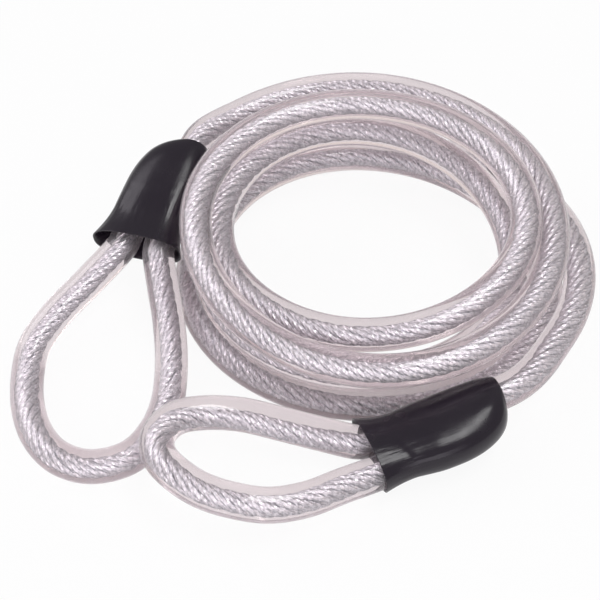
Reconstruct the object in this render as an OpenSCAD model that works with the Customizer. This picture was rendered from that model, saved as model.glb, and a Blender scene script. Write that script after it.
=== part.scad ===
// Coiled security cable: a steel wire rope in a clear jacket, wound into a loose coil,
// with a closed eye at each end. Each eye is held by a pressed ferrule under a black cap.
// Millimetres, +Z up, the front is -Y. The cable rests on z = 0.

/* [Cable] */
// outside diameter of the clear jacket
cable_d = 12; // [11:0.5:13]
// diameter of the steel wire rope
rope_d = 4.8; // [4:0.1:6]
// mean radius of the coil's centre line
coil_r = 70; // [66:1:80]

/* [Eyes] */
// inside length of eye A, from the cap's mouth along the eye
eye_a_len = 88; // [80:1:100]
// inside length of eye B, from the cap's mouth along the eye
eye_b_len = 66; // [62:1:74]

/* [Caps] */
// length of the cap over ferrule A
cap_a_len = 48.5; // [46:0.5:54]
// length of the cap over ferrule B
cap_b_len = 51; // [48:0.5:56]
// wall of the cap over the ferrule's flat side
cap_wall = 1.5; // [1:0.1:2]
// length of the pressed ferrules
ferrule_len = 24; // [20:0.5:25]

/* [Hidden] */
k = cable_d / 12;               // the tables below are given for a 12 mm cable
cr = cable_d / 2;
rr = rope_d / 2;
fit = 0.3;                      // clearance between neighbouring pieces
bore_r = rr + fit;              // inside of the jacket and of the ferrule's two bores
sides = 8;                      // facets round a cable
leg = cable_d + 0.4;            // the two legs of an eye lie this far apart in the cap
front = 14;                     // solid nose of the cap in front of the ferrule

// Coil: radius over coil_r and height at the left, back, right and front of each turn.
// The angle runs clockwise seen from above, from the left (-X).
coil_st = [
    [10.5, 30], [10.5, 36.5], [0.5, 32.5], [0.5, 29],
    [-7.5, 41], [-13, 45.5], [-10.5, 40], [-15, 30.5],
    [-15, 30], [-9.5, 29.5], [-13, 19.5], [-7, 18.5],
    [-10.5, 17], [-8.5, 15.5], [1, 5.5], [-5, 5],
    [-3.5, 4.8], [5.5, 8], [12, 15.5], [6.5, 10.5], [8, 8.5]];
coil_from = 55;                 // the coil proper runs between these angles
coil_to = 1650;
coil_n = 106;                   // about 15 degrees from ring to ring

// Caps: angle and radius over coil_r of the nose, nose height, heading, downward tilt, length,
// side that the tail lies on, angle where the coil begins, reach of the lead-in's two ends
cap_a = [32.8, 9.1, 34 * k, -105.5, 15, cap_a_len, 1, coil_from, 0.3, 0.45];
cap_b = [1676.6, 11.4, 14.1 * k, -158.5, 5.5, cap_b_len, -1, coil_to, 0.36, 0.36];

// Eyes: along the eye from the cap's mouth, towards the tail's side, height
eye_a_pts = [
    [12.8, -7.2, 16], [26.2, -13.9, 12], [40.8, -19.7, 8], [56.5, -23.6, 5], [71.5, -23.9, 4.8],
    [84, -19.5, 4.8], [91.4, -8.6, 4.8], [91, 3.5, 4.8], [84.4, 14.1, 4.8], [73.6, 22.6, 4.8],
    [60.1, 28.8, 5], [46.3, 31.5, 7.5], [31.9, 27.7, 11.5], [17.2, 21, 15.5]];
eye_b_pts = [
    [11.9, -9, 10], [23.7, -16.7, 12], [35.5, -24, 14], [47.4, -27.8, 16], [57.9, -27.6, 18],
    [65.6, -22.3, 18.8], [68.3, -14.4, 18.8], [66, -5.3, 18.8], [59.8, 4.4, 18], [50.5, 11.6, 16.5],
    [40.1, 15.9, 14.5], [27.6, 16.7, 12.5], [14, 14.5, 10.5]];

// ---- small vector tools
function unit(v) = v / norm(v);
function spline(p, q, r, s, t) =
    0.5 * (2 * q + (r - p) * t + (2 * p - 5 * q + 4 * r - s) * t * t
        + (3 * q - p - 3 * r + s) * t * t * t);
function bezier(p, q, r, s, t) =
    pow(1 - t, 3) * p + 3 * pow(1 - t, 2) * t * q + 3 * (1 - t) * t * t * r + pow(t, 3) * s;

// ---- the coil's centre line
function station(i) = coil_st[max(0, min(len(coil_st) - 1, i))];
function coil_at(a) =
    let (i = floor(a / 90),
         s = spline(station(i - 1), station(i), station(i + 1), station(i + 2), a / 90 - i),
         r = coil_r + k * s[0])
    [-r * cos(a), r * sin(a), k * s[1]];
function coil_dir(a) = unit(coil_at(a + 1) - coil_at(a - 1));

// ---- a cap's own frame: x from the nose to the mouth, y from the through leg to the tail
function cap_nose(c) =
    [-(coil_r + k * c[1]) * cos(c[0]), (coil_r + k * c[1]) * sin(c[0]), c[2]];
function cap_x(c) = [cos(c[3]) * cos(c[4]), sin(c[3]) * cos(c[4]), -sin(c[4])];
function cap_side(c) = c[6] * [sin(c[3]), -cos(c[3]), 0];
function in_cap(c, x, y) = cap_nose(c) + x * cap_x(c) + y * cap_side(c);
function eye_at(c, p, f) =
    let (m = in_cap(c, c[5], 0), u = [cos(c[3]), sin(c[3]), 0])
    [for (i = [0:2]) i == 2 ? k * p[2] : (m + f * p[0] * u + k * p[1] * cap_side(c))[i]];

// ---- the stretches of the route
function lead_in(c, n) =
    let (p = in_cap(c, 0, 0), q = coil_at(c[7]), h = norm(q - p), w = c[6] * coil_dir(c[7]))
    [for (i = [0:n - 1]) bezier(p, p - h * c[8] * cap_x(c), q - h * c[9] * w, q, i / n)];
function rev(v) = [for (i = [len(v) - 1:-1:0]) v[i]];
function coil_path(n, m) = concat(
    [in_cap(cap_a, front - fit, 0)], lead_in(cap_a, m),
    [for (i = [0:n]) coil_at(coil_from + (coil_to - coil_from) * i / n)],
    rev(lead_in(cap_b, m)), [in_cap(cap_b, front - fit, 0)]);
function eye_knots(c, pts, f) = concat(
    [in_cap(c, c[5] - 7, 0), in_cap(c, c[5] + 0.5, -1.2)], [for (p = pts) eye_at(c, p, f)],
    [in_cap(c, c[5] + 0.5, leg + 0.6), in_cap(c, c[5] - 7, leg)]);
function eye_path(c, pts, f, n) =
    let (q = eye_knots(c, pts, f), x0 = front + ferrule_len + fit)
    concat([in_cap(c, x0, 0)],
        [for (i = [1:len(q) - 3], j = [0:n - 1]) spline(q[i - 1], q[i], q[i + 1], q[i + 2], j / n)],
        [q[len(q) - 2], in_cap(c, x0, leg)]);

eye_a_f = eye_a_len / 88;
eye_b_f = eye_b_len / 66;
main_path = coil_path(coil_n, 4);
path_a = eye_path(cap_a, eye_a_pts, eye_a_f, 2);
path_b = eye_path(cap_b, eye_b_pts, eye_b_f, 2);
rope_path = concat([in_cap(cap_a, front, leg)], rev(path_a), main_path, path_b,
    [in_cap(cap_b, front, leg)]);

// ---- the cable's least gap to itself, measured on points half a ring apart
fine = concat(rev(eye_path(cap_a, eye_a_pts, eye_a_f, 4)), coil_path(2 * coil_n, 8),
    eye_path(cap_b, eye_b_pts, eye_b_f, 4));
near = min([for (i = [0:len(fine) - 1], j = [i + 14:1:len(fine) - 1])
    let (d = norm(fine[i] - fine[j])) (abs(d - leg) < 0.05 || d > 20) ? 20 : d]);
echo(least_gap = near - cable_d);
echo(cable_length = sum_len(rope_path));
function sum_len(p, i = 1, s = 0) =
    i >= len(p) ? s : sum_len(p, i + 1, s + norm(p[i] - p[i - 1]));

// ---- the middle of the plan, from the jackets' outermost points
all_pts = [for (p = [main_path, path_a, path_b], i = [0:len(p) - 1]) each ring(p, i, cr)];
lo = [min([for (p = all_pts) p[0]]), min([for (p = all_pts) p[1]])];
hi = [max([for (p = all_pts) p[0]]), max([for (p = all_pts) p[1]])];
mid = [(lo[0] + hi[0]) / 2, (lo[1] + hi[1]) / 2, 0];
echo(middle = mid);

// ---- tube surfaces
function dir_at(p, i) =
    unit(p[min(len(p) - 1, i + 1)] - p[max(0, i - 1)]);
function ring(p, i, r) =
    let (t = dir_at(p, i), s = unit(cross(t, [0, 0, 1])), u = cross(s, t))
    [for (j = [0:sides - 1]) let (a = 360 * (j + 0.5) / sides,
        q = p[i] + r * (cos(a) * s + sin(a) * u)) [q[0], q[1], max(0, q[2])]];
function wall_faces(n, o, flip) =
    [for (i = [0:n - 2], j = [0:sides - 1], h = [0:1])
        let (a = o + i * sides + j, b = o + i * sides + (j + 1) % sides,
             f = h == 0 ? [a, b, b + sides] : [a, b + sides, a + sides])
        flip ? [f[2], f[1], f[0]] : f];

module cord(p, r) {
    n = len(p);
    polyhedron(
        points = [for (i = [0:n - 1]) each ring(p, i, r)],
        faces = concat(wall_faces(n, 0, false),
            [for (j = [1:sides - 2]) [0, j + 1, j]],
            [for (j = [1:sides - 2]) let (o = (n - 1) * sides) [o, o + j, o + j + 1]]),
        convexity = 10);
}

module pipe(p, r, b) {
    n = len(p);
    m = n * sides;
    polyhedron(
        points = concat([for (i = [0:n - 1]) each ring(p, i, r)],
            [for (i = [0:n - 1]) each ring(p, i, b)]),
        faces = concat(wall_faces(n, 0, false), wall_faces(n, m, true),
            [for (e = [0:1], j = [0:sides - 1], h = [0:1])
                let (o = e * (n - 1) * sides, c = (j + 1) % sides,
                     f = h == 0 ? [o + j, o + m + j, o + m + c] : [o + j, o + m + c, o + c])
                e == 0 ? f : [f[2], f[1], f[0]]]),
        convexity = 12);
}

// ---- ferrules and caps, in the cap's own frame
module in_frame(c) {
    x = cap_x(c); y = cap_side(c); z = cross(x, y); o = cap_nose(c) - mid;
    multmatrix([[x[0], y[0], z[0], o[0]], [x[1], y[1], z[1], o[1]], [x[2], y[2], z[2], o[2]]])
        children();
}

module oval(w, t, x0, x1) {
    translate([x0, leg / 2, 0]) rotate([0, 90, 0]) linear_extrude(x1 - x0)
        hull() for (s = [-1, 1]) translate([0, s * (w - t) / 2]) circle(d = t, $fn = 32);
}

module leaning(d) translate([0, d / 2, 0]) children();

ferrule_w = leg + cable_d + 0.4;
ferrule_t = cable_d + 1;
body_w = ferrule_w + 2 * fit + 2 * cap_wall - 0.4;
body_t = ferrule_t + 2 * fit + 2 * cap_wall;
mouth_w = body_w + 4.7;
mouth_t = body_t + 1.4;
lip_a = 2.4 * k;
lip_b = -2.4 * k;

module ferrule() {
    difference() {
        hull() {
            oval(ferrule_w - 2, ferrule_t - 2, front, front + ferrule_len);
            oval(ferrule_w, ferrule_t, front + 1, front + ferrule_len - 1);
        }
        for (y = [0, leg]) translate([front - 1, y, 0]) rotate([0, 90, 0])
            cylinder(r = bore_r, h = ferrule_len + 2, $fn = 32);
        // three press marks across each flat side
        for (i = [-1:1], s = [-1, 1])
            translate([front + ferrule_len / 2 + i * 7, leg / 2, s * (ferrule_t / 2 + 1.4)])
                rotate([90, 0, 0]) cylinder(r = 2, h = ferrule_w, center = true, $fn = 24);
    }
}

// lip: how much further the mouth reaches on the tail's side
module cap(l, lip) {
    flare = l - 12;
    difference() {
        union() {
            hull() {
                rotate([0, 90, 0]) cylinder(r = cr + 0.9, h = 0.8, $fn = 48);
                // the domed end: round at the through leg, drawn in at the tail's side
                for (y = [leg / 2 - (body_w - body_t) / 2, leg - 4])
                    translate([body_t / 2 + 0.6, y, 0]) sphere(d = body_t, $fn = 32);
                oval(body_w, body_t, front + 1, flare);
            }
            hull() {
                oval(body_w, body_t, flare - 1, flare);
                leaning(lip / 2) oval(body_w + 1 + lip / 2, body_t + 0.2, flare + 5.5, flare + 6.5);
            }
            hull() {
                leaning(lip / 2) oval(body_w + 1 + lip / 2, body_t + 0.2, flare + 5.5, flare + 6.5);
                leaning(lip) oval(mouth_w + lip, mouth_t, l - 1, l);
            }
        }
        translate([-1, 0, 0]) rotate([0, 90, 0]) cylinder(r = cr + fit, h = front + 2, $fn = 48);
        oval(ferrule_w + 2 * fit, ferrule_t + 2 * fit, front - fit, l);
        hull() {
            oval(ferrule_w + 2 * fit, ferrule_t + 2 * fit, flare, flare + 1);
            leaning(lip) oval(mouth_w + lip - 2, mouth_t - 2, l - 0.5, l + 1);
        }
    }
}

// ---- the pieces
module rope() color("#b9bcc2") translate(-mid) cord(rope_path, rr);
module jacket_coil() color("#d9d5dd") translate(-mid) pipe(main_path, cr, bore_r);
module jacket_eye_a() color("#dcd8df") translate(-mid) pipe(path_a, cr, bore_r);
module jacket_eye_b() color("#dcd8df") translate(-mid) pipe(path_b, cr, bore_r);
module ferrule_a() color("#a9adb3") in_frame(cap_a) ferrule();
module ferrule_b() color("#a9adb3") in_frame(cap_b) ferrule();
module cap_a_shell() color("#232226") in_frame(cap_a) cap(cap_a_len, lip_a);
module cap_b_shell() color("#232226") in_frame(cap_b) cap(cap_b_len, lip_b);

rope();
jacket_coil();
jacket_eye_a();
jacket_eye_b();
ferrule_a();
ferrule_b();
cap_a_shell();
cap_b_shell();
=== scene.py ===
# %% [markdown]
# # A coiled security cable
# The real thing is a steel wire rope inside a clear PVC jacket, wound into a loose coil, with an
# eye at each end. Each eye is closed by a pressed ferrule that sits inside a black cap. The packed
# CAD model is loaded first as a fixed frame. Everything that is modelled here lies where its solids
# lie, in metres, with the resting surface at z = 0.

# %% Load the frame
import math

import bpy
import numpy as np
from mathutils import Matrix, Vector


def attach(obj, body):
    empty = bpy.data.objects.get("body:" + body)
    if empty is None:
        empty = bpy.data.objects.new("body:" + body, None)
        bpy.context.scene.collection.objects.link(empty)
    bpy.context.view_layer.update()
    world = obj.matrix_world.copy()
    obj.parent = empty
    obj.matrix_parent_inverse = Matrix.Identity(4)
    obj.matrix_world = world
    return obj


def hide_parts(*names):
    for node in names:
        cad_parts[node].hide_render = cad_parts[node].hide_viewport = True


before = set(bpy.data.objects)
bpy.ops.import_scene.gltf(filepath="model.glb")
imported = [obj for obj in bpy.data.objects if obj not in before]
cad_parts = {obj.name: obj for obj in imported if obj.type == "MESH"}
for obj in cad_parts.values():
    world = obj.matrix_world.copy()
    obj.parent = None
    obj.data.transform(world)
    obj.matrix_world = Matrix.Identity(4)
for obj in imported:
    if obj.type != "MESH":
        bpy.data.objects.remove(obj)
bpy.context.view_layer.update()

bpy.ops.object.select_all(action="DESELECT")

# %% [markdown]
# ## The camera
# The coil is looked at from the front and 45 degrees above, from half a metre away. An 84 mm lens
# on a 36 mm sensor gives the calm perspective of a product picture. The camera is made before
# anything else.

# %% Camera
bpy.ops.object.camera_add(location=(-0.0038, -0.3724, 0.3830), rotation=(math.radians(45), 0, 0))
camera = bpy.context.object
camera.data.lens = 84
camera.data.sensor_width = 36
camera.data.clip_start = 0.01
bpy.context.scene.camera = camera
print("camera at", tuple(round(v, 3) for v in camera.location))

# %% [markdown]
# ## The route of the cable
# A cable has one centre line, and everything else is laid along it: the jacket, the strands and the
# caps. The route is the one that the solids follow. The coil is a loose spiral: its radius and its
# height are given at every quarter turn and a smooth spline runs through them. Each eye is a spline
# through points that are given in its cap's own frame, and a Bezier curve leads from each cap into
# the coil. The same numbers are used here, only sampled much more finely.

# %% Numbers of the cable
mm = 0.001
cable_d, rope_d, coil_r = 12.0, 4.8, 70.0
leg = cable_d + 0.4
coil_jacket_from, eye_jacket_from = 13.7, 38.3
coil_stations = [
    (10.5, 30), (10.5, 36.5), (0.5, 32.5), (0.5, 29), (-7.5, 41), (-13, 45.5), (-10.5, 40),
    (-15, 30.5), (-15, 30), (-9.5, 29.5), (-13, 19.5), (-7, 18.5), (-10.5, 17), (-8.5, 15.5),
    (1, 5.5), (-5, 5), (-3.5, 4.8), (5.5, 8), (12, 15.5), (6.5, 10.5), (8, 8.5)]
coil_from, coil_to = 55, 1650
coil_middle = np.array((-20.4556, -17.9834, 0.0))
cap_a = dict(angle=32.8, out=9.1, height=34, heading=-105.5, tilt=15, length=48.5, side=1,
             reach=(0.3, 0.45))
cap_b = dict(angle=1676.6, out=11.4, height=14.1, heading=-158.5, tilt=5.5, length=51, side=-1,
             reach=(0.36, 0.36))
eye_a_knots = [
    (12.8, -7.2, 16), (26.2, -13.9, 12), (40.8, -19.7, 8), (56.5, -23.6, 5), (71.5, -23.9, 4.8),
    (84, -19.5, 4.8), (91.4, -8.6, 4.8), (91, 3.5, 4.8), (84.4, 14.1, 4.8), (73.6, 22.6, 4.8),
    (60.1, 28.8, 5), (46.3, 31.5, 7.5), (31.9, 27.7, 11.5), (17.2, 21, 15.5)]
eye_b_knots = [
    (11.9, -9, 10), (23.7, -16.7, 12), (35.5, -24, 14), (47.4, -27.8, 16), (57.9, -27.6, 18),
    (65.6, -22.3, 18.8), (68.3, -14.4, 18.8), (66, -5.3, 18.8), (59.8, 4.4, 18),
    (50.5, 11.6, 16.5), (40.1, 15.9, 14.5), (27.6, 16.7, 12.5), (14, 14.5, 10.5)]
print("quarter turns", len(coil_stations) - 1, "eye knots", len(eye_a_knots), len(eye_b_knots))

# %% [markdown]
# A spline runs through the numbers above. A cap has a frame of its own: its nose, the way along it,
# and the side on which the tail of the cable lies. The two legs of the cable lie side by side in
# the cap, a cable's thickness and a little air apart, and start to spread near its mouth. A jacket
# starts inside its cap, so many millimetres from the nose.

# %% Splines
def spline(p, q, r, s, t):
    p, q, r, s = map(np.array, (p, q, r, s))
    return 0.5 * (2 * q + (r - p) * t + (2 * p - 5 * q + 4 * r - s) * t**2
                  + (3 * q - p - 3 * r + s) * t**3)


def coil_at(angle):
    i = math.floor(angle / 90)
    near = [coil_stations[max(0, min(len(coil_stations) - 1, i + j))] for j in (-1, 0, 1, 2)]
    out, height = spline(*near, angle / 90 - i)
    a = math.radians(angle)
    return np.array((-(coil_r + out) * math.cos(a), (coil_r + out) * math.sin(a), height))


def cap_axes(cap):
    a, h, t = (math.radians(cap[key]) for key in ("angle", "heading", "tilt"))
    nose = np.array((-(coil_r + cap["out"]) * math.cos(a), (coil_r + cap["out"]) * math.sin(a),
                     cap["height"]))
    along = np.array((math.cos(h) * math.cos(t), math.sin(h) * math.cos(t), -math.sin(t)))
    side = np.array((math.sin(h), -math.cos(h), 0)) * cap["side"]
    return nose, along, side


def in_cap(cap, x, y):
    nose, along, side = cap_axes(cap)
    return nose + x * along + y * side


def lead_in(cap, angle, n=24):
    start, end, (_, along, _) = in_cap(cap, 0, 0), coil_at(angle), cap_axes(cap)
    reach = np.linalg.norm(end - start) * np.array(cap["reach"])
    way = coil_at(angle + 1) - coil_at(angle - 1)
    way = way / np.linalg.norm(way) * cap["side"]
    p, q, r, s = start, start - reach[0] * along, end - reach[1] * way, end
    return [(1 - t)**3 * p + 3 * (1 - t)**2 * t * q + 3 * (1 - t) * t**2 * r + t**3 * s
            for t in np.arange(n) / n]


def eye_route(cap, knots, n=16):
    side = cap_axes(cap)[2]
    h = math.radians(cap["heading"])
    flat = np.array((math.cos(h), math.sin(h), 0))
    mouth = in_cap(cap, cap["length"], 0)
    run = [mouth + x * flat + y * side for x, y, z in knots]
    run = [np.array((p[0], p[1], z)) for p, (x, y, z) in zip(run, knots)]
    straight_to, spreads_at = cap["length"] - 7, cap["length"] + 0.5
    near_spread, tail_spread = 1.2, 0.6
    run = [in_cap(cap, straight_to, 0), in_cap(cap, spreads_at, -near_spread)] + run + [
        in_cap(cap, spreads_at, leg + tail_spread), in_cap(cap, straight_to, leg)]
    fine = [spline(*run[i - 1:i + 3], j / n) for i in range(1, len(run) - 2) for j in range(n)]
    return ([in_cap(cap, eye_jacket_from, 0)] + fine
            + [run[-2], in_cap(cap, eye_jacket_from, leg)])


# %% [markdown]
# A rope's strands turn at a steady rate, so the points of each route are spread evenly along its
# length. At every point a pair of axes is carried along with as little turning as possible, which
# gives the strands a steady place to count their turns from.

# %% Even points and carried axes
def even(points, step):
    points = np.array(points)
    run = np.concatenate(([0], np.cumsum(np.linalg.norm(np.diff(points, axis=0), axis=1))))
    n = max(2, round(run[-1] / step))
    at = np.linspace(0, run[-1], n + 1)
    return np.stack([np.interp(at, run, points[:, k]) for k in range(3)], axis=1), at


def carried_axes(points):
    ahead = np.gradient(points, axis=0)
    ahead /= np.linalg.norm(ahead, axis=1)[:, None]
    across = np.cross(ahead[0], (0, 0, 1.0))
    sides = []
    for t in ahead:
        across = across - t * np.dot(across, t)
        across /= np.linalg.norm(across)
        sides.append(across)
    sides = np.array(sides)
    return sides, np.cross(sides, ahead)


coil_fine = ([in_cap(cap_a, coil_jacket_from, 0)] + lead_in(cap_a, coil_from)
             + [coil_at(a) for a in np.arange(coil_from, coil_to, 1.0)] + [coil_at(coil_to)]
             + lead_in(cap_b, coil_to)[::-1] + [in_cap(cap_b, coil_jacket_from, 0)])
routes = {"coil": coil_fine, "eye_a": eye_route(cap_a, eye_a_knots),
          "eye_b": eye_route(cap_b, eye_b_knots)}
routes = {name: (np.array(points) - coil_middle) * mm for name, points in routes.items()}
route_step = 0.5 * mm
for name in routes:
    routes[name] = even(routes[name], route_step)[0]
    print("route", name, round(float(even(routes[name], mm)[1][-1]), 4), "m")


# %% [markdown]
# ## Helpers for shapes
# A round thing that follows a route is quickest made as a curve with a round bevel: the curve is
# laid through the route's points and thickened. A strand isn't round, so its curve takes a second
# curve as its profile, and the tilt of its points turns that profile as it goes.

# %% Curve helpers
def curve_through(name, points, radius=0.0, facets=4, profile=None, tilt=None):
    data = bpy.data.curves.new(name, "CURVE")
    data.dimensions = "3D"
    line = data.splines.new("POLY")
    line.points.add(len(points) - 1)
    line.points.foreach_set("co", np.c_[points, np.ones(len(points))].ravel())
    if tilt is not None:
        line.points.foreach_set("tilt", tilt)
    line.use_smooth = True
    data.use_fill_caps = True
    if profile:
        data.bevel_mode = "OBJECT"
        data.bevel_object = profile
    else:
        data.bevel_depth = radius
        data.bevel_resolution = facets
    curve = bpy.data.objects.new(name, data)
    bpy.context.collection.objects.link(curve)
    return curve


def as_mesh(name, *objects):
    bpy.ops.object.select_all(action="DESELECT")
    for obj in objects:
        obj.select_set(True)
    bpy.context.view_layer.objects.active = objects[0]
    bpy.ops.object.convert(target="MESH")
    if len(objects) > 1:
        bpy.ops.object.join()
    made = bpy.context.object
    made.name = made.data.name = name
    bpy.ops.object.shade_smooth()
    bpy.ops.object.select_all(action="DESELECT")
    return made


def triangles(obj):
    return sum(len(face.vertices) - 2 for face in obj.data.polygons)


# %% [markdown]
# ## The jackets
# There are three of them, as on the real cable: the long one of the coil and the short ones of the
# two eyes. The real jacket is pressed tight on the rope, so no air lies between them, and the rope
# looks half as thick again as it is. That is why each jacket is one solid clear body, with the
# rope's strands inside it. Soft PVC flattens a little where it rests on the table, so whatever
# would dip below the table is pressed flat, and the edge of the flat is rounded.

# %% Jackets
def metres(points):
    return float(np.linalg.norm(np.diff(np.array(points), axis=0), axis=1).sum())


def rested(z, lift=0.05 * mm, soft=0.22 * mm, untouched=4 * mm):
    """The height of a point after the table has pressed it, which changes only the lowest ones."""
    return lift + soft * math.log1p(math.exp((z - lift) / soft)) if z < untouched else z


jackets = {}
jacket_step, jacket_facets = 2.2 * mm, 16
for name in routes:
    tube = curve_through("tube_" + name, even(routes[name], jacket_step)[0], cable_d / 2 * mm,
                         jacket_facets)
    jacket = as_mesh("clear_jacket_" + name, tube)
    for vertex in jacket.data.vertices:
        vertex.co.z = rested(vertex.co.z)
    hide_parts("jacket_" + name)
    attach(jacket, "root")
    jackets[name] = jacket
    print(jacket.name, triangles(jacket), "triangles")

# %% [markdown]
# ## The lengths of the cable
# The cable leaves cap A, runs through the coil and goes into cap B, and the two eyes leave their
# caps and come back to them. The length of each of the three routes is printed.

for name, lies in (("coil", "coiled"), ("eye_a", "loose"), ("eye_b", "loose")):
    print("cord", name, round(metres(routes[name]), 3), "m")

# %% [markdown]
# ## Helpers for finishes
# Every finish here starts from one Principled shader. These helpers add a node, join two sockets,
# make a noise that is fixed to the object and spread a pattern over a range of values, so that each
# finish below stays short enough to read. A Mix node has sockets for numbers, vectors and colours:
# its two colours go into sockets 6 and 7, and the mixed colour comes out of socket 2.

# %% Finish helpers
def new_finish(name, color, roughness, **inputs):
    material = bpy.data.materials.new(name)
    material.use_nodes = True
    shader = material.node_tree.nodes["Principled BSDF"]
    shader.inputs["Base Color"].default_value = (*color, 1)
    shader.inputs["Roughness"].default_value = roughness
    for key, value in inputs.items():
        shader.inputs[key.replace("_", " ")].default_value = value
    return material, shader


def add(material, kind, **settings):
    node = material.node_tree.nodes.new("ShaderNode" + kind)
    for key, value in settings.items():
        if hasattr(node, key):
            setattr(node, key, value)
        else:
            node.inputs[key.replace("_", " ")].default_value = value
    return node


def join(material, source, target):
    material.node_tree.links.new(source, target)


def object_noise(material, scale, detail):
    noise = add(material, "TexNoise", Scale=scale, Detail=detail)
    join(material, add(material, "TexCoord").outputs["Object"], noise.inputs["Vector"])
    return noise.outputs["Fac"]


def spread(material, pattern, low, high, start, end):
    ranged = add(material, "MapRange")
    for name, value in zip(("From Min", "From Max", "To Min", "To Max"), (start, end, low, high)):
        ranged.inputs[name].default_value = value
    join(material, pattern, ranged.inputs["Value"])
    return ranged.outputs["Result"]


def tinted(material, pattern, low, high):
    mix = add(material, "Mix", data_type="RGBA")
    mix.inputs[6].default_value = (*low, 1)
    mix.inputs[7].default_value = (*high, 1)
    join(material, pattern, mix.inputs[0])
    return mix.outputs[2]


def bumped(material, shader, pattern, depth, strength=0.5):
    bump = add(material, "Bump", Strength=strength, Distance=depth)
    join(material, pattern, bump.inputs["Height"])
    join(material, bump.outputs["Normal"], shader.inputs["Normal"])


# %% [markdown]
# ## The clear jacket's finish
# Soft PVC is clear with a faint violet cast, a little hazy, and bends light like glass. The tint
# lies in its volume, so that a long way through it is darker than a short one. A glass shader alone
# would leave the rope inside in the dark, because glass is solid for the light that comes straight
# from the lamps. So lamp rays pass it as if it were a tinted film.
#
# The surface isn't perfect. It has a fine unevenness from the extruder, dull patches from handling
# and a thin bloom that shows at grazing angles. Its lowest two millimetres, which have rubbed over
# the ground, are milky.

# %% Clear jacket finish
clear_pvc, pvc = new_finish("clear_pvc", (0.95, 0.915, 0.955), 0.05, IOR=1.53,
                            Transmission_Weight=0.90, Sheen_Weight=0.35, Sheen_Roughness=0.4,
                            Sheen_Tint=(0.93, 0.90, 0.94, 1))
patches = object_noise(clear_pvc, 70.0, 4.0)
join(clear_pvc, spread(clear_pvc, patches, 0.02, 0.08, 0.35, 0.7), pvc.inputs["Roughness"])
height = add(clear_pvc, "SeparateXYZ")
join(clear_pvc, add(clear_pvc, "TexCoord").outputs["Object"], height.inputs[0])
milky, clear, rubbed_to, clean_from = 0.35, 0.90, 0.4 * mm, 2.2 * mm
join(clear_pvc, spread(clear_pvc, height.outputs["Z"], milky, clear, rubbed_to, clean_from),
     pvc.inputs["Transmission Weight"])
ripple_depth = 0.12 * mm
bumped(clear_pvc, pvc, object_noise(clear_pvc, 160.0, 2.0), ripple_depth)
rays = add(clear_pvc, "LightPath")
film = add(clear_pvc, "BsdfTransparent", Color=(0.93, 0.89, 0.91, 1))
pick = add(clear_pvc, "MixShader")
join(clear_pvc, rays.outputs["Is Shadow Ray"], pick.inputs[0])
join(clear_pvc, pvc.outputs[0], pick.inputs[1])
join(clear_pvc, film.outputs[0], pick.inputs[2])
pvc_out = clear_pvc.node_tree.nodes["Material Output"]
join(clear_pvc, pick.outputs[0], pvc_out.inputs["Surface"])
depth_tint = add(clear_pvc, "VolumeAbsorption", Color=(0.64, 0.53, 0.47, 1), Density=46.0)
join(clear_pvc, depth_tint.outputs[0], pvc_out.inputs["Volume"])
for jacket in jackets.values():
    jacket.data.materials.clear()
    jacket.data.materials.append(clear_pvc)
print("jacket finish on", len(jackets), "jackets")

# %% [markdown]
# ## The steel's finish
# The wires are galvanised: zinc is bright but soft, so their shine changes in small patches, and
# grey oxide dulls some of them. A noise at the size of a wire drives both the colour and the
# roughness, which gives the broken glints of a real rope.

# %% Steel finish
zinc, steel = new_finish("galvanised_wire", (0.75, 0.75, 0.77), 0.3, Metallic=1.0)
grain = object_noise(zinc, 900.0, 3.0)
oxide, bright = (0.50, 0.51, 0.545), (0.95, 0.96, 1.0)
join(zinc, tinted(zinc, spread(zinc, grain, 0, 1, 0.32, 0.62), oxide, bright),
     steel.inputs["Base Color"])
join(zinc, spread(zinc, grain, 0.50, 0.26, 0.35, 0.65), steel.inputs["Roughness"])
print("steel finish ready")

# %% [markdown]
# ## The strands
# The rope is laid up from six strands round a heart, and every strand from seven wires, six of
# them in sight. The strands turn to the right, once in 31 mm, and the wires turn the same way
# within each strand, so that they cross the rope steeply and show as short bright dashes. A
# strand's profile is the outline of its six outer wires, as six lobes. Real strands never lie quite
# even, so each one wanders a little.

# %% A strand's profile
strands_n, strand_r, lay, wire_lay = 6, 0.95 * mm, 31 * mm, 14 * mm
strand_circle = rope_d / 2 * mm - strand_r
wires_n, wire_r = 6, strand_r / 3
valley_and_lobe = (-30, -13, 13)
outline = []
for wire in range(wires_n):
    for turn in valley_and_lobe:
        near = math.radians(turn)
        reach = 2 * wire_r * math.cos(near) + math.sqrt(
            max(0, wire_r**2 - (2 * wire_r * math.sin(near))**2))
        a = math.radians(360 / wires_n * wire) + near
        outline.append((reach * math.cos(a), reach * math.sin(a), 0))
wire_profile = curve_through("wire_profile", np.array(outline))
wire_profile.data.dimensions = "2D"
wire_profile.data.splines[0].use_cyclic_u = True
wire_profile.data.use_fill_caps = False
print("strand profile has", len(outline), "points")

# %% [markdown]
# Each strand is a curve that circles the rope's centre line once in every lay, and the tilt of its
# points turns the profile as the wires turn. Two slow waves make each strand wander. The rope
# doesn't run quite in the middle of its jacket: it hangs a little low and towards the front, by a
# quarter of a millimetre, and by a millimetre in the far leg of eye B. The long rope's strands are
# pieces of their own, because one piece would have too many faces.

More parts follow.
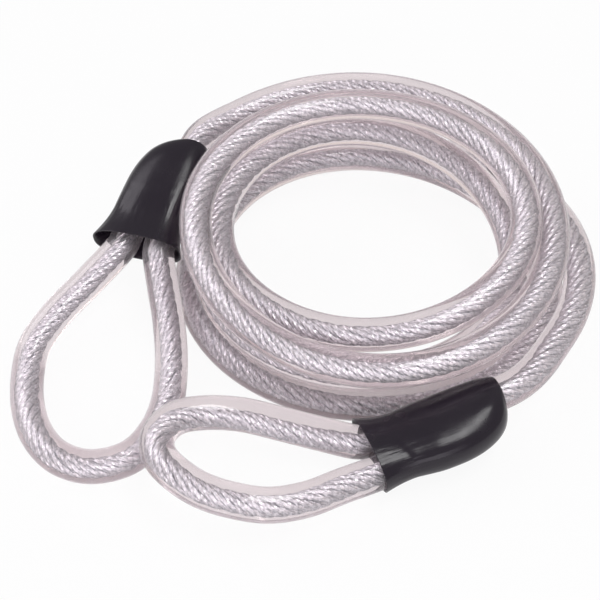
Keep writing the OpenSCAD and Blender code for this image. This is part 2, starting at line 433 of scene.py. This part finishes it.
# %% Lay up the strands
def sunk(name, points, at, ramp=30 * mm):
    """The rope's centre line in a jacket. It is in the middle at the ends of the jacket."""
    low = np.full(len(points), 0.35)
    if name == "eye_b":
        leg_at, leg_share = 0.22, 0.16
        low += 1.1 * np.exp(-((at / at[-1] - leg_at) / leg_share)**2)
    ends = np.minimum(1, np.minimum(at, at[-1] - at) / ramp)
    down_and_front = 0.7 * mm
    moved = points.copy()
    moved[:, 1] -= low * ends * down_and_front
    moved[:, 2] -= low * ends * down_and_front
    return moved


def strand(name, i, points, at, across, up):
    wander = 0.10 * np.sin(at / (9 * mm) + 2.1 * i) + 0.06 * np.sin(at / (3.7 * mm) + 4.3 * i)
    turn = 2 * math.pi * (i / strands_n - at / lay) + wander
    out = strand_circle * (1 + 0.02 * np.sin(at / (5.3 * mm) + 1.3 * i))
    path = points + out[:, None] * (np.cos(turn)[:, None] * across + np.sin(turn)[:, None] * up)
    return curve_through(f"strand_{name}_{i + 1}", path, profile=wire_profile,
                         tilt=2 * math.pi * at / wire_lay + 0.9 * i)


rope = []
strand_step, heart_r = 1.0 * mm, strand_circle * 0.97
for name in routes:
    points, at = even(routes[name], strand_step)
    points = sunk(name, points, at)
    axes = carried_axes(points)
    made = [strand(name, i, points, at, *axes) for i in range(strands_n)]
    heart = curve_through(f"heart_{name}", points[::2], heart_r, 2)
    if name == "coil":
        pieces = [as_mesh(piece.name, piece) for piece in made + [heart]]
    else:
        pieces = [as_mesh("strands_" + name, *made), as_mesh(heart.name, heart)]
    for piece in pieces:
        piece.data.materials.clear()
        piece.data.materials.append(zinc)
        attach(piece, "root")
    rope += pieces
    print(name, [triangles(piece) for piece in pieces])
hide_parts("rope")
bpy.data.objects.remove(wire_profile)

# %% [markdown]
# ## The black caps
# The caps are dipped from soft PVC. Each starts as a collar round the cable, widens in a dome to an
# oval that covers the ferrule, draws in behind the ferrule and flares out to an open mouth, with a
# rolled lip. A circle is extruded ring by ring, and each ring is then set to its own outline: where
# it lies along the cap, its edge on the cable's side, its edge on the tail's side for each of the
# two caps, and half its thickness. Cap A's mouth gapes wider. The wall turns over at the lip and
# runs back inside. The ferrule's rounded end shows through as a faint shoulder, an arc across the
# cap behind which the wall lies a little lower. The rows are for a cap of 51 mm. A ring is round
# at the nose, and a little boxy where the cap is wide.

# %% Cap outlines
outline_length, tail_edge_a, tail_edge_b = 51, 2, 3
shoulder_arc, shoulder_width = 5, 0.3
cap_outline = [
    (3.0, -6.04, 6.04, 6.04, 6.04), (0.7, -6.08, 6.08, 6.08, 6.08), (0.15, -6.2, 6.2, 6.2, 6.2),
    (0.0, -6.4, 6.5, 6.5, 6.45), (0.25, -6.6, 7.4, 7.4, 6.7), (1.0, -6.9, 9.4, 9.4, 7.0),
    (2.4, -7.2, 11.9, 11.9, 7.4), (4.4, -7.5, 14.2, 14.1, 7.8), (7.2, -7.7, 16.3, 16.1, 8.15),
    (10.8, -7.8, 17.9, 17.8, 8.35), (15.0, -7.85, 19.2, 19.1, 8.4), (20.0, -7.8, 20.1, 19.9, 8.35),
    (25.0, -7.7, 20.6, 20.1, 8.3), (29.5, -7.6, 20.9, 20.0, 8.3), (33.0, -7.4, 21.1, 19.6, 8.1),
    (36.5, -7.25, 21.3, 19.1, 7.9), (40.0, -7.3, 21.8, 18.8, 7.8), (43.5, -7.7, 22.6, 18.9, 8.0),
    (46.5, -8.4, 23.5, 19.2, 8.3), (49.0, -9.3, 24.4, 19.6, 8.7), (50.6, -9.9, 24.95, 19.9, 8.95),
    (51.0, -10.1, 25.05, 20.0, 9.0), (51.1, -9.9, 24.85, 19.8, 8.8),
    (50.7, -9.4, 24.3, 19.2, 8.25), (49.0, -8.5, 23.4, 18.5, 7.6), (46.5, -7.5, 22.5, 18.1, 7.1),
    (43.0, -6.7, 21.2, 18.0, 6.7), (38.6, -6.5, 19.6, 18.4, 6.6)]


def fine_rows(rows, parts):
    rows = [rows[0]] + list(rows) + [rows[-1]]
    return np.array([spline(*rows[i - 1:i + 3], j / parts) for i in range(1, len(rows) - 2)
                     for j in range(parts)] + [rows[-1]])


def ring_of(row, count, boxiness=0.6):
    x, low, high, half = row
    oval = min(1.0, (high - low) / (2 * half) - 1)
    power = 2 / (2 + boxiness * oval)
    a = 2 * np.pi * np.arange(count) / count
    y = (low + high) / 2 + (high - low) / 2 * np.sign(np.cos(a)) * np.abs(np.cos(a))**power
    return x, y, half * np.sign(np.sin(a)) * np.abs(np.sin(a))**power


print("cap rows", len(cap_outline))


# %% [markdown]
# The rings are extruded upwards first, so that a vertex's height tells its ring and its angle tells
# its place in the ring. Then every vertex goes to its place on the cap. The same two numbers give
# the cap a UV map that runs round it and along it. The shoulder is a place along the cap, and the
# drop is the share of the cap's thickness by which the wall lies lower behind it.

# %% Make a cap
def black_cap(name, cap, tail_edge, shoulder, drop, node, count=72, parts=5):
    rows = fine_rows([(row[0], row[1], row[tail_edge], row[4]) for row in cap_outline], parts)
    rows[:, 0] *= cap["length"] / outline_length
    bpy.ops.object.select_all(action="DESELECT")
    bpy.ops.mesh.primitive_circle_add(vertices=count, radius=1, location=(0, 0, 0))
    shell = bpy.context.object
    bpy.ops.object.mode_set(mode="EDIT")
    bpy.ops.mesh.select_all(action="SELECT")
    for _ in range(len(rows) - 1):
        bpy.ops.mesh.extrude_region_move(TRANSFORM_OT_translate={"value": (0, 0, 1)})
    bpy.ops.object.mode_set(mode="OBJECT")
    nose, along, side = cap_axes(cap)
    up = np.cross(side, along)
    up *= np.sign(up[2])
    placed = []
    for row in rows:
        x, y, z = ring_of(row, count)
        across = (2 * y - row[1] - row[2]) / (row[2] - row[1])
        past = (x - shoulder + shoulder_arc * across**2) / shoulder_width
        z = z * (1 - drop / (1 + np.exp(-past)))
        placed.append((nose - coil_middle + x * along + y[:, None] * side + z[:, None] * up) * mm)
    spots = []
    for vertex in shell.data.vertices:
        level = round(vertex.co.z)
        step = round(math.atan2(vertex.co.y, vertex.co.x) / (2 * math.pi) * count) % count
        spots.append((level, step))
    for vertex, (level, step) in zip(shell.data.vertices, spots):
        vertex.co = placed[level][step]
    uv = shell.data.uv_layers.new(name="along_and_round")
    for face in shell.data.polygons:
        steps = [spots[shell.data.vertices[v].index][1] for v in face.vertices]
        wraps = max(steps) - min(steps) > 1
        for loop, v in zip(face.loop_indices, face.vertices):
            level, step = spots[v]
            round_at = step + count if wraps and step == 0 else step
            uv.data[loop].uv = (round_at / count, rows[level][0] / outline_length)
    bpy.ops.object.mode_set(mode="EDIT")
    bpy.ops.mesh.select_all(action="SELECT")
    bpy.ops.mesh.normals_make_consistent(inside=False)
    bpy.ops.object.mode_set(mode="OBJECT")
    bpy.ops.object.shade_smooth()
    shell.name = shell.data.name = name
    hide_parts(node)
    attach(shell, "root")
    print(name, triangles(shell), "triangles")
    return shell


caps = [black_cap("soft_cap_a", cap_a, tail_edge_a, 27.5, 0.016, "cap_a_shell"),
        black_cap("soft_cap_b", cap_b, tail_edge_b, 42.0, 0.045, "cap_b_shell")]

# %% [markdown]
# ## The black PVC's finish
# Dipped PVC is nearly black, with a clean but soft gloss. It wrinkles a little where it is
# stretched over the ferrule and flares out: long, shallow creases that run along the cap. They come
# from a noise that is stretched along the cap in its own UV map, and fade out towards the dome.

# %% Black cap finish
black_pvc, black = new_finish("black_pvc", (0.0125, 0.0085, 0.0150), 0.25, IOR=1.45)
place = add(black_pvc, "UVMap", uv_map="along_and_round")
creases_round, creases_along = 26, 2.2
long_way = add(black_pvc, "Mapping", Scale=(creases_round, creases_along, 1))
join(black_pvc, place.outputs["UV"], long_way.inputs["Vector"])
creases = add(black_pvc, "TexNoise", Scale=1.0, Detail=3.0)
join(black_pvc, long_way.outputs[0], creases.inputs["Vector"])
parts_of = add(black_pvc, "SeparateXYZ")
join(black_pvc, place.outputs["UV"], parts_of.inputs[0])
fade = add(black_pvc, "Math", operation="MULTIPLY")
join(black_pvc, creases.outputs["Fac"], fade.inputs[0])
join(black_pvc, spread(black_pvc, parts_of.outputs["Y"], 0.12, 1.0, 0.3, 0.75), fade.inputs[1])
crease_depth = 0.7 * mm
bumped(black_pvc, black, fade.outputs[0], crease_depth)
dull = object_noise(black_pvc, 120.0, 5.0)
join(black_pvc, spread(black_pvc, dull, 0.17, 0.30, 0.35, 0.7), black.inputs["Roughness"])
for shell in caps:
    shell.data.materials.append(black_pvc)
print("black finish on", len(caps), "caps")

# %% [markdown]
# ## The ferrules
# The ferrules are pressed aluminium sleeves. They sit inside the caps and hardly show, so the
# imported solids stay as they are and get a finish: satin metal with fine marks from the press.

# %% Ferrule finish
alloy, pressed = new_finish("pressed_aluminium", (0.60, 0.61, 0.63), 0.4, Metallic=1.0)
marks = object_noise(alloy, 420.0, 6.0)
join(alloy, spread(alloy, marks, 0.28, 0.55, 0.3, 0.7), pressed.inputs["Roughness"])
mark_depth = 0.2 * mm
bumped(alloy, pressed, marks, mark_depth)
for node in ("ferrule_a", "ferrule_b"):
    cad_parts[node].data.materials.clear()
    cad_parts[node].data.materials.append(alloy)
    print("finish on", node)


# %% [markdown]
# ## The floor and the light
# The cable lies on a plain white floor. The floor's paper is lit like anything else, so it keeps
# the cable's shadow. Its white is lifted only for the camera, and less for what is seen in a mirror
# or through the clear jacket. Without that rule the lamps would have to be turned up until the
# steel burnt out. This helper turns the kind of ray into the share of white that it sees.

# %% Helper for the white
def white_share(material, camera_share, mirror_share, glass_share):
    rays = add(material, "LightPath")
    share = None
    for flag, part in (("Is Camera Ray", camera_share), ("Is Glossy Ray", mirror_share),
                       ("Is Transmission Ray", glass_share)):
        scaled = add(material, "Math", operation="MULTIPLY")
        join(material, rays.outputs[flag], scaled.inputs[0])
        scaled.inputs[1].default_value = part
        if share is None:
            share = scaled
            continue
        larger = add(material, "Math", operation="MAXIMUM")
        join(material, share.outputs[0], larger.inputs[0])
        join(material, scaled.outputs[0], larger.inputs[1])
        share = larger
    return share.outputs[0]


# %% [markdown]
# The floor is one plane, six metres wide, so that its edge lies far behind the cable. Unlike the
# pieces of the cable, it is not attached to the object's body.

# %% Floor
bpy.ops.mesh.primitive_plane_add(size=6, location=(0, 0, 0))
floor = bpy.context.object
floor.name = "floor"
white, paper = new_finish("white_floor", (0.84, 0.835, 0.84), 0.9, Specular_IOR_Level=0)
lit = add(white, "Emission", Color=(1, 1, 1, 1), Strength=1.0)
pick = add(white, "MixShader")
join(white, white_share(white, camera_share=0.92, mirror_share=0.6, glass_share=0.75),
     pick.inputs[0])
join(white, paper.outputs[0], pick.inputs[1])
join(white, lit.outputs[0], pick.inputs[2])
join(white, pick.outputs[0], white.node_tree.nodes["Material Output"].inputs["Surface"])
floor.data.materials.append(white)
print("floor", floor.dimensions[:])

# %% [markdown]
# The world is a studio: a plain grey light for the paper and the steel. The camera sees white where
# the floor ends. What is seen through the clear jacket is a warm white near the horizon, and greyer
# towards the ceiling, which draws cream and grey lines along the edges of the jacket.

# %% World
world = bpy.context.scene.world or bpy.data.worlds.new("studio")
bpy.context.scene.world = world
world.use_nodes = True
plain = world.node_tree.nodes["Background"]
plain.inputs[0].default_value = (0.80, 0.79, 0.80, 1)
plain.inputs[1].default_value = 0.53
heights = add(world, "SeparateXYZ")
join(world, add(world, "TexCoord").outputs["Generated"], heights.inputs[0])
horizon, ceiling = (1.0, 0.93, 0.86), (0.66, 0.65, 0.67)
sweep = tinted(world, spread(world, heights.outputs["Z"], 0, 1, 0.1, 0.95), horizon, ceiling)
studio = add(world, "Background")
join(world, sweep, studio.inputs[0])
clean = add(world, "Background", Color=(1, 1, 1, 1), Strength=1.0)
rays = add(world, "LightPath")
seen = add(world, "MixShader")
join(world, rays.outputs["Is Transmission Ray"], seen.inputs[0])
join(world, plain.outputs[0], seen.inputs[1])
join(world, studio.outputs[0], seen.inputs[2])
direct = add(world, "MixShader")
join(world, rays.outputs["Is Camera Ray"], direct.inputs[0])
join(world, seen.outputs[0], direct.inputs[1])
join(world, clean.outputs[0], direct.inputs[2])
join(world, direct.outputs[0], world.node_tree.nodes["World Output"].inputs["Surface"])
print("world ready")


# %% [markdown]
# Three large soft boxes stand round the cable. The one on the right draws the long highlight on
# cap B, the one on the left the sheen on cap A, and the wide one in front fills the shaded sides.
# The left and the front one are faintly violet.

# %% Lamps
def soft_box(name, place, aim, width, height, power, tint=(1, 1, 1)):
    bpy.ops.object.light_add(type="AREA", location=place)
    made = bpy.context.object
    made.name = name
    made.data.shape = "RECTANGLE"
    made.data.size, made.data.size_y = width, height
    made.data.energy = power
    made.data.color = tint
    made.rotation_euler = (Vector(aim) - Vector(place)).to_track_quat("-Z", "Y").to_euler()


soft_box("soft_box_right", (0.32, -0.05, 0.88), (0.02, 0, 0), 0.6, 0.25, 3.1)
soft_box("soft_box_left", (-0.9, 0.35, 0.75), (0, 0, 0), 0.9, 0.9, 5.2, (0.98, 0.94, 1.0))
soft_box("soft_box_front", (-0.1, -1.2, 0.45), (0, 0, 0), 2.0, 0.8, 7.5, (0.97, 0.93, 1.0))

bpy.context.scene.view_settings.view_transform = "Standard"
